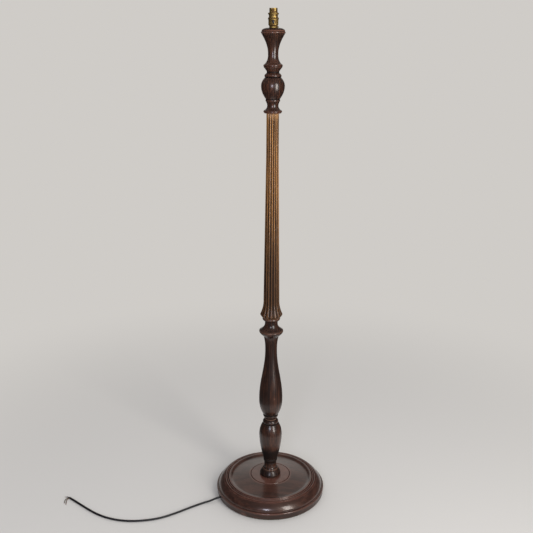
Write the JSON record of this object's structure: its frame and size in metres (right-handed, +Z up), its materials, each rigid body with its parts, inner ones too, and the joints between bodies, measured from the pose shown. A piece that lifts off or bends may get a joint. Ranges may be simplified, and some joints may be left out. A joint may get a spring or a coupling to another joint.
{
  "type": "candlestick floor lamp",
  "caption": "Turned wooden candlestick floor lamp with a dished round base, a fluted column, a brass bayonet lampholder with a push-bar switch, and a flex laid out on the floor.",
  "frame": {"origin": "on the floor at the middle of the base", "axes": "+Z up along the column, -Y towards the front as pictured, +X to the right"},
  "size_m": [0.9158, 0.3927, 1.639],
  "materials": {
    "mahogany": "french-polished, dark red-brown",
    "dark_wood": "french-polished, very dark brown",
    "golden_wood": "worn polish, golden brown",
    "baize": "felted",
    "brass": "aged",
    "steel": "bright",
    "copper": "bright",
    "bakelite": "polished",
    "flex_sheath": "satin",
    "core_brown": "satin",
    "core_blue": "satin",
    "core_earth": "satin",
    "porcelain": "glazed"
  },
  "bodies": {
    "standard": {"base_disc": "mahogany", "base_baize": "baize", "base_screws": "steel", "flex_clip": "bakelite", "flex_clip_screws": "steel", "foot_column": "dark_wood", "baluster": "dark_wood", "fluted_column": "golden_wood", "capital": "mahogany", "flex_inner": "flex_sheath", "flex_free": "flex_sheath", "core_brown": "core_brown", "core_blue": "core_blue", "core_earth": "core_earth", "nipple": "brass", "holder_body": "brass", "locking_screw": "brass", "wire_brown": "core_brown", "wire_blue": "core_blue", "wire_earth": "core_earth", "earth_screw": "brass", "terminal_block": "porcelain", "terminal_posts": "brass", "terminal_screws": "steel", "plunger_spring_left": "steel", "plunger_spring_right": "steel", "barrel": "brass", "clamp_ring": "brass", "switch_contacts": "copper"},
    "left_plunger": {"plunger_left": "brass"},
    "right_plunger": {"plunger_right": "brass"},
    "shade_ring": {"shade_ring": "brass"},
    "switch": {"switch_bar": "bakelite", "switch_bridge": "copper"}
  },
  "joints": [
    {"name": "switch_push", "type": "slide", "parent": "standard", "child": "switch", "axis": [0, 1, 0], "range_m": [0, 0.006]},
    {"name": "plunger_left_press", "type": "slide", "parent": "standard", "child": "left_plunger", "axis": [0, 0, -1], "range_m": [0, 0.004], "stiffness_N_per_m": 800, "springref_m": -0.003, "deforming": ["plunger_spring_left"]},
    {"name": "plunger_right_press", "type": "slide", "parent": "standard", "child": "right_plunger", "axis": [0, 0, -1], "range_m": [0, 0.004], "stiffness_N_per_m": 800, "springref_m": -0.003, "deforming": ["plunger_spring_right"]},
    {"name": "shade_ring_turn", "type": "hinge", "parent": "standard", "child": "shade_ring", "pos_m": [0, 0, 1.623], "axis": [0, 0, 1], "continuous": true}
  ]
}
